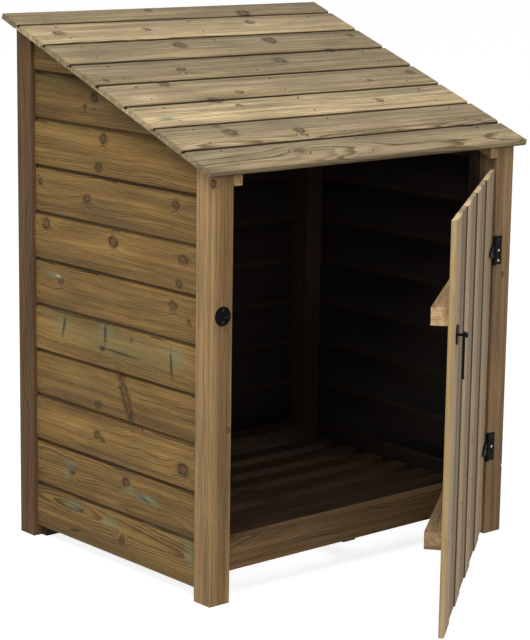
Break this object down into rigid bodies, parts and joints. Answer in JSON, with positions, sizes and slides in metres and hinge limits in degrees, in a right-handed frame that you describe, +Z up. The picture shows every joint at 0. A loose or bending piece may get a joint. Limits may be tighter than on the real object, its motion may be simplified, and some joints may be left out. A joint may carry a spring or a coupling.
{
  "type": "log store",
  "caption": "Open-fronted timber log store with a single-pitch boarded roof, lapped board walls, a slatted floor and a ledged door with tee hinges and a cabin hook.",
  "frame": {"origin": "centre of the underside of the front left post, on the ground", "axes": "+X to the right along the front, +Y to the back, +Z up"},
  "size_m": [0.982, 1.2485, 1.2591],
  "materials": {
    "post_timber": "sawn, treated",
    "wall_boards": "planed, treated",
    "roof_boards": "planed, weathered",
    "door_boards": "planed, treated",
    "door_ledges": "sawn, treated",
    "sawn_timber": "sawn, treated",
    "black_iron": "black, satin"
  },
  "bodies": {
    "store": {"back_bottom_rail": "sawn_timber", "back_cladding": "wall_boards", "back_left_batten": "sawn_timber", "back_left_post": "post_timber", "back_right_batten": "sawn_timber", "back_right_post": "post_timber", "catch_eye": "black_iron", "catch_plate": "black_iron", "floor_slats": "sawn_timber", "front_left_post": "post_timber", "front_right_post": "post_timber", "front_sill": "sawn_timber", "left_back_batten": "sawn_timber", "left_cladding": "wall_boards", "left_floor_bearer": "sawn_timber", "left_front_batten": "sawn_timber", "left_rafter": "sawn_timber", "lower_hinge_pin": "black_iron", "lower_hinge_plate": "black_iron", "middle_floor_bearer": "sawn_timber", "right_back_batten": "sawn_timber", "right_cladding": "wall_boards", "right_floor_bearer": "sawn_timber", "right_front_batten": "sawn_timber", "right_rafter": "sawn_timber", "roof_board_1": "roof_boards", "roof_board_2": "roof_boards", "roof_board_3": "roof_boards", "roof_board_4": "roof_boards", "roof_board_5": "roof_boards", "roof_board_6": "roof_boards", "roof_board_7": "roof_boards", "roof_board_8": "roof_boards", "upper_hinge_pin": "black_iron", "upper_hinge_plate": "black_iron"},
    "door": {"door_boards": "door_boards", "upper_door_ledge": "door_ledges", "lower_door_ledge": "door_ledges", "upper_hinge_strap": "black_iron", "lower_hinge_strap": "black_iron", "hook_plate": "black_iron"},
    "hook": {"cabin_hook": "black_iron"}
  },
  "joints": [
    {"name": "door_swing", "type": "hinge", "parent": "store", "child": "door", "pos_m": [0.846, -0.0331, 0.4655], "axis": [0, 0, 1], "range_deg": [-37.6, 132.4]},
    {"name": "hook_swing", "type": "hinge", "parent": "door", "child": "hook", "pos_m": [0.24699, -0.48859, 0.66], "axis": [-0.6101, 0.7923, 0], "range_deg": [-90, 90]}
  ]
}
